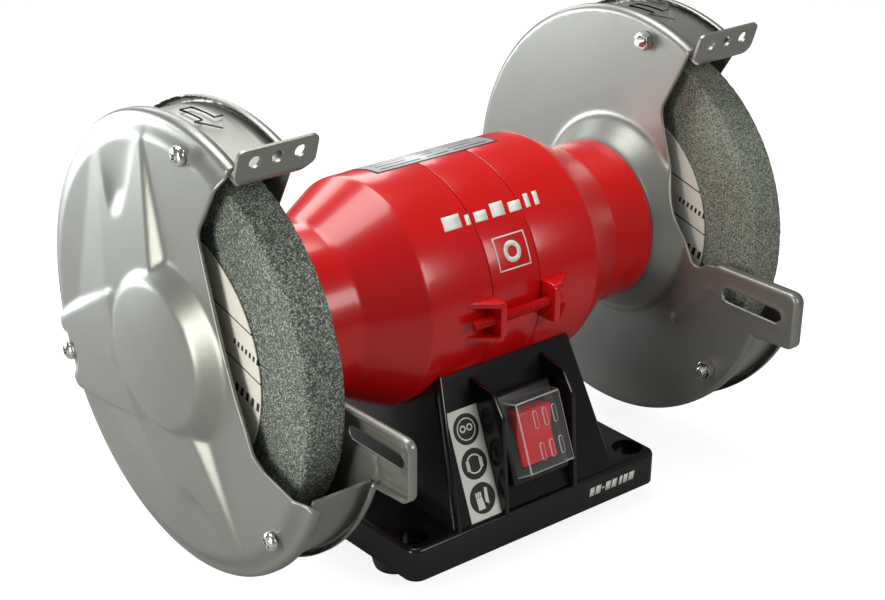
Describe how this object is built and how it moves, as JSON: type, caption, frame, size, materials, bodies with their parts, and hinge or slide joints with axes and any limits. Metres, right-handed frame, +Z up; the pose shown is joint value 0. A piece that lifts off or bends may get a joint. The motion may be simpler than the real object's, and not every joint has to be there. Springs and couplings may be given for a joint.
{
  "type": "bench grinder",
  "caption": "Bench grinder: motor on a pedestal base, an abrasive wheel in a pressed guard at each end of the shaft, rocker switch in front.",
  "frame": {"origin": "centre of the box's underside, on the plane of the feet", "axes": "+X along the shaft to the right-hand wheel, -Y to the working side, +Z up"},
  "size_m": [0.278, 0.1952, 0.1911],
  "materials": {
    "red_paint": "glossy red enamel",
    "guard_paint": "satin silver-grey paint on pressed steel",
    "abrasive": "open-grained grey-green vitrified abrasive",
    "blotter_paper": "cream paper with thin printed lines",
    "black_body": "semi-gloss moulded black",
    "zinc": "bright zinc plating",
    "steel": "bare machined steel",
    "copper": "enamelled copper wire",
    "rubber": "matt black rubber",
    "rocker_red": "glossy red plastic",
    "clear_boot": "clear soft plastic",
    "capacitor_can": "satin can"
  },
  "bodies": {
    "frame": {"base_housing": "black_body", "base_plate": "steel", "capacitor": "capacitor_can", "clamp_bolt_front": "red_paint", "clamp_bolt_rear": "red_paint", "cord_gland": "rubber", "foot_front_left": "rubber", "foot_front_right": "rubber", "foot_rear_left": "rubber", "foot_rear_right": "rubber", "guard_band_left": "guard_paint", "guard_band_right": "guard_paint", "guard_cover_left": "guard_paint", "guard_cover_right": "guard_paint", "guard_nut_left_1": "zinc", "guard_nut_left_2": "zinc", "guard_nut_left_3": "zinc", "guard_nut_right_1": "zinc", "guard_nut_right_2": "zinc", "guard_nut_right_3": "zinc", "guard_plate_left": "guard_paint", "guard_plate_right": "guard_paint", "guard_screw_left_1": "zinc", "guard_screw_left_2": "zinc", "guard_screw_left_3": "zinc", "guard_screw_right_1": "zinc", "guard_screw_right_2": "zinc", "guard_screw_right_3": "zinc", "motor_screw_left": "zinc", "motor_screw_right": "zinc", "motor_shell_left": "red_paint", "motor_shell_right": "red_paint", "outer_race_left": "steel", "outer_race_right": "steel", "stator_core": "red_paint", "switch_body": "black_body", "switch_cover": "clear_boot", "winding_left": "copper", "winding_right": "copper"},
    "spindle": {"shaft": "steel", "rotor": "steel", "inner_race_left": "steel", "grinding_wheel_left": "abrasive", "blotter_inner_left": "blotter_paper", "blotter_outer_left": "blotter_paper", "flange_inner_left": "zinc", "flange_outer_left": "zinc", "spindle_nut_left": "zinc", "inner_race_right": "steel", "grinding_wheel_right": "abrasive", "blotter_inner_right": "blotter_paper", "blotter_outer_right": "blotter_paper", "flange_inner_right": "zinc", "flange_outer_right": "zinc", "spindle_nut_right": "zinc"},
    "rocker": {"switch_rocker": "rocker_red"},
    "cage_left": {"ball_cage_left": "steel"},
    "cage_right": {"ball_cage_right": "steel"}
  },
  "joints": [
    {"name": "spindle_spin", "type": "hinge", "parent": "frame", "child": "spindle", "pos_m": [0, 0.00815, 0.1012], "axis": [1, 0, 0], "continuous": true},
    {"name": "cage_left_turn", "type": "hinge", "parent": "frame", "child": "cage_left", "pos_m": [-0.0764, 0.00815, 0.1012], "axis": [1, 0, 0], "continuous": true},
    {"name": "cage_right_turn", "type": "hinge", "parent": "frame", "child": "cage_right", "pos_m": [0.0764, 0.00815, 0.1012], "axis": [1, 0, 0], "continuous": true},
    {"name": "rocker_tip", "type": "hinge", "parent": "frame", "child": "rocker", "pos_m": [0, -0.04392, 0.0467], "axis": [-1, 0, 0], "range_deg": [0, 16]}
  ],
  "couplings": [
    {"joint": "cage_left_turn", "follows": "spindle_spin", "ratio": 0.4},
    {"joint": "cage_right_turn", "follows": "spindle_spin", "ratio": 0.4}
  ]
}
